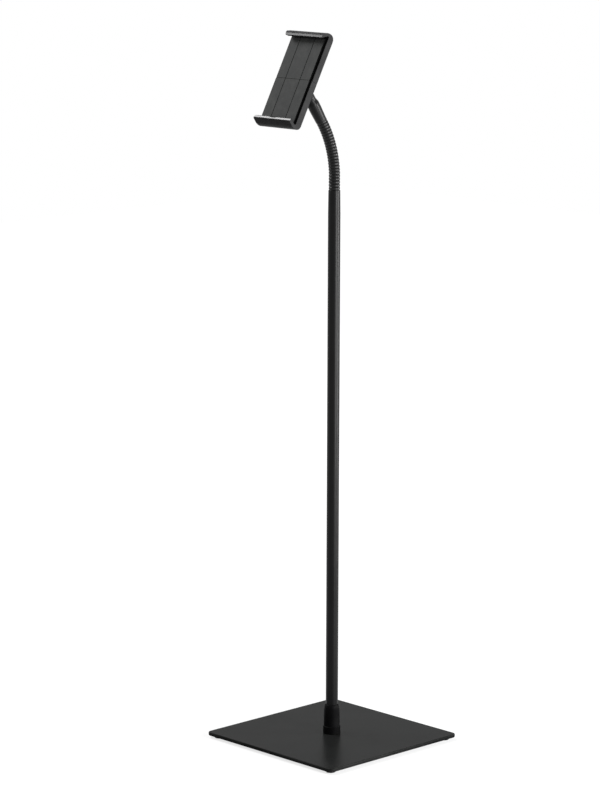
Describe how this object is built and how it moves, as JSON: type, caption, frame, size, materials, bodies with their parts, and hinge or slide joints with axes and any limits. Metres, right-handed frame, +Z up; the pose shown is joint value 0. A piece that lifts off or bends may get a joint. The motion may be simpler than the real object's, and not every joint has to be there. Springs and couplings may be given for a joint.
{
  "type": "adjustable tablet floor stand",
  "caption": "Free-standing tablet stand: square weighted base, tall tube pole, flexible ribbed neck and a sprung two-part tablet holder on a ball joint.",
  "frame": {"origin": "on the floor, under the pole's axis, at the centre of the base", "axes": "+Z up along the pole, -Y towards the side that the holder faces, +X to the right of a person who faces the tablet from the front"},
  "size_m": [0.32, 0.32, 1.2729],
  "materials": {
    "base_paint": "fine textured matte black powder coat",
    "tube_paint": "satin black powder coat",
    "foot_rubber": "soft black rubber",
    "fastener_steel": "zinc plated",
    "neck_coating": "semi-gloss black coating",
    "sleeve_plastic": "fine grained black moulding",
    "shell_plastic": "fine grained dark grey moulding",
    "pad_rubber": "dull dark grey rubber"
  },
  "bodies": {
    "stand": {"base_plate": "base_paint", "foot_front_left": "foot_rubber", "foot_front_right": "foot_rubber", "foot_back_left": "foot_rubber", "foot_back_right": "foot_rubber", "foot_screws": "fastener_steel", "base_bolt": "fastener_steel", "base_collar": "tube_paint", "pole_sleeve": "sleeve_plastic", "pole": "tube_paint", "pole_foot_plug": "fastener_steel", "neck_root": "neck_coating"},
    "neck_link_01": {"neck_rib_01": "neck_coating"},
    "neck_link_02": {"neck_rib_02": "neck_coating"},
    "neck_link_03": {"neck_rib_03": "neck_coating"},
    "neck_link_04": {"neck_rib_04": "neck_coating"},
    "neck_link_05": {"neck_rib_05": "neck_coating"},
    "neck_link_06": {"neck_rib_06": "neck_coating"},
    "neck_link_07": {"neck_rib_07": "neck_coating"},
    "neck_link_08": {"neck_rib_08": "neck_coating"},
    "neck_link_09": {"neck_rib_09": "neck_coating"},
    "neck_link_10": {"neck_rib_10": "neck_coating"},
    "neck_link_11": {"neck_rib_11": "neck_coating"},
    "neck_link_12": {"neck_rib_12": "neck_coating"},
    "neck_link_13": {"neck_rib_13": "neck_coating"},
    "neck_link_14": {"neck_rib_14": "neck_coating"},
    "neck_link_15": {"neck_rib_15": "neck_coating"},
    "neck_link_16": {"neck_rib_16": "neck_coating"},
    "neck_link_17": {"neck_rib_17": "neck_coating"},
    "neck_link_18": {"neck_rib_18": "neck_coating"},
    "neck_link_19": {"neck_rib_19": "neck_coating"},
    "neck_link_20": {"neck_rib_20": "neck_coating"},
    "neck_link_21": {"neck_rib_21": "neck_coating"},
    "neck_link_22": {"neck_rib_22": "neck_coating"},
    "neck_link_23": {"neck_rib_23": "neck_coating"},
    "neck_link_24": {"neck_rib_24": "neck_coating"},
    "neck_end": {"neck_tip": "neck_coating", "ferrule": "tube_paint"},
    "ball": {"ball_stud": "tube_paint"},
    "liner": {"ball_liner": "sleeve_plastic"},
    "holder": {"ball_socket": "sleeve_plastic", "socket_screws": "fastener_steel", "lower_shell": "shell_plastic", "lower_face_plate": "sleeve_plastic", "lower_pad": "pad_rubber", "lower_grip": "pad_rubber", "lower_screws": "fastener_steel", "spring_left": "fastener_steel", "spring_right": "fastener_steel"},
    "ring": {"lock_ring": "sleeve_plastic"},
    "upper_jaw": {"upper_shell": "shell_plastic", "upper_face_plate": "sleeve_plastic", "upper_pad": "pad_rubber", "upper_grip": "pad_rubber", "upper_screws": "fastener_steel", "slide_tongue": "sleeve_plastic", "tongue_screws": "fastener_steel"}
  },
  "joints": [
    {"name": "neck_bend_01", "type": "hinge", "parent": "stand", "child": "neck_link_01", "pos_m": [0, 0, 0.98399], "axis": [1, 0, 0], "range_deg": [-5, 4.2]},
    {"name": "neck_sway_01", "type": "hinge", "parent": "neck_link_01", "child": "neck_link_02", "pos_m": [0, 0, 0.98949], "axis": [0, 1, 0], "range_deg": [-3.4, 3.4]},
    {"name": "neck_bend_02", "type": "hinge", "parent": "neck_link_02", "child": "neck_link_03", "pos_m": [0, 0, 0.99499], "axis": [1, 0, 0], "range_deg": [-5, 4.2]},
    {"name": "neck_sway_02", "type": "hinge", "parent": "neck_link_03", "child": "neck_link_04", "pos_m": [0, 0, 1.00049], "axis": [0, 1, 0], "range_deg": [-3.4, 3.4]},
    {"name": "neck_bend_03", "type": "hinge", "parent": "neck_link_04", "child": "neck_link_05", "pos_m": [0, 0, 1.00599], "axis": [1, 0, 0], "range_deg": [-5, 4.2]},
    {"name": "neck_sway_03", "type": "hinge", "parent": "neck_link_05", "child": "neck_link_06", "pos_m": [0, 0, 1.01149], "axis": [0, 1, 0], "range_deg": [-3.4, 3.4]},
    {"name": "neck_bend_04", "type": "hinge", "parent": "neck_link_06", "child": "neck_link_07", "pos_m": [0, 0, 1.01699], "axis": [1, 0, 0], "range_deg": [-5, 4.2]},
    {"name": "neck_sway_04", "type": "hinge", "parent": "neck_link_07", "child": "neck_link_08", "pos_m": [0, -0.00017, 1.02249], "axis": [0, 0.9981, 0.0615], "range_deg": [-3.4, 3.4]},
    {"name": "neck_bend_05", "type": "hinge", "parent": "neck_link_08", "child": "neck_link_09", "pos_m": [0, -0.00051, 1.02798], "axis": [1, 0, 0], "range_deg": [-5, 4.2]},
    {"name": "neck_sway_05", "type": "hinge", "parent": "neck_link_09", "child": "neck_link_10", "pos_m": [0, -0.00102, 1.03346], "axis": [0, 0.9924, 0.1228], "range_deg": [-3.4, 3.4]},
    {"name": "neck_bend_06", "type": "hinge", "parent": "neck_link_10", "child": "neck_link_11", "pos_m": [0, -0.00169, 1.03891], "axis": [1, 0, 0], "range_deg": [-5, 4.2]},
    {"name": "neck_sway_06", "type": "hinge", "parent": "neck_link_11", "child": "neck_link_12", "pos_m": [0, -0.00253, 1.04435], "axis": [0, 0.983, 0.1836], "range_deg": [-3.4, 3.4]},
    {"name": "neck_bend_07", "type": "hinge", "parent": "neck_link_12", "child": "neck_link_13", "pos_m": [0, -0.00354, 1.04975], "axis": [1, 0, 0], "range_deg": [-5, 4.2]},
    {"name": "neck_sway_07", "type": "hinge", "parent": "neck_link_13", "child": "neck_link_14", "pos_m": [0, -0.00472, 1.05513], "axis": [0, 0.9698, 0.2437], "range_deg": [-3.4, 3.4]},
    {"name": "neck_bend_08", "type": "hinge", "parent": "neck_link_14", "child": "neck_link_15", "pos_m": [0, -0.00606, 1.06046], "axis": [1, 0, 0], "range_deg": [-5, 4.2]},
    {"name": "neck_sway_08", "type": "hinge", "parent": "neck_link_15", "child": "neck_link_16", "pos_m": [0, -0.00756, 1.06575], "axis": [0, 0.953, 0.3029], "range_deg": [-3.4, 3.4]},
    {"name": "neck_bend_09", "type": "hinge", "parent": "neck_link_16", "child": "neck_link_17", "pos_m": [0, -0.00923, 1.07099], "axis": [1, 0, 0], "range_deg": [-5, 4.2]},
    {"name": "neck_sway_09", "type": "hinge", "parent": "neck_link_17", "child": "neck_link_18", "pos_m": [0, -0.01106, 1.07618], "axis": [0, 0.9326, 0.3609], "range_deg": [-3.4, 3.4]},
    {"name": "neck_bend_10", "type": "hinge", "parent": "neck_link_18", "child": "neck_link_19", "pos_m": [0, -0.01304, 1.08131], "axis": [1, 0, 0], "range_deg": [-5, 4.2]},
    {"name": "neck_sway_10", "type": "hinge", "parent": "neck_link_19", "child": "neck_link_20", "pos_m": [0, -0.01518, 1.08638], "axis": [0, 0.9086, 0.4176], "range_deg": [-3.4, 3.4]},
    {"name": "neck_bend_11", "type": "hinge", "parent": "neck_link_20", "child": "neck_link_21", "pos_m": [0, -0.01748, 1.09137], "axis": [1, 0, 0], "range_deg": [-5, 4.2]},
    {"name": "neck_sway_11", "type": "hinge", "parent": "neck_link_21", "child": "neck_link_22", "pos_m": [0, -0.01993, 1.0963], "axis": [0, 0.8812, 0.4727], "range_deg": [-3.4, 3.4]},
    {"name": "neck_bend_12", "type": "hinge", "parent": "neck_link_22", "child": "neck_link_23", "pos_m": [0, -0.02253, 1.10115], "axis": [1, 0, 0], "range_deg": [-5, 4.2]},
    {"name": "neck_sway_12", "type": "hinge", "parent": "neck_link_23", "child": "neck_link_24", "pos_m": [0, -0.02528, 1.10591], "axis": [0, 0.8505, 0.526], "range_deg": [-3.4, 3.4]},
    {"name": "neck_bend_13", "type": "hinge", "parent": "neck_link_24", "child": "neck_end", "pos_m": [0, -0.02817, 1.11059], "axis": [1, 0, 0], "range_deg": [-5, 4.2]},
    {"name": "stem_swivel", "type": "hinge", "parent": "neck_end", "child": "ball", "pos_m": [0, -0.0556, 1.15203], "axis": [0, -0.5519, 0.8339], "continuous": true},
    {"name": "holder_tilt", "type": "hinge", "parent": "ball", "child": "liner", "pos_m": [0, -0.07188, 1.17663], "axis": [1, 0, 0], "range_deg": [-65, 10]},
    {"name": "holder_roll", "type": "hinge", "parent": "liner", "child": "holder", "pos_m": [0, -0.07188, 1.17663], "axis": [0, -0.8805, 0.4741], "continuous": true},
    {"name": "ring_turn", "type": "hinge", "parent": "holder", "child": "ring", "pos_m": [0, -0.07188, 1.17663], "axis": [0, 0.8805, -0.4741], "range_deg": [0, 120]},
    {"name": "clamp_slide", "type": "slide", "parent": "holder", "child": "upper_jaw", "axis": [0, 0.4741, 0.8805], "range_m": [0, 0.062], "stiffness_N_per_m": 150, "springref_m": -0.06, "deforming": ["spring_left", "spring_right"]}
  ]
}
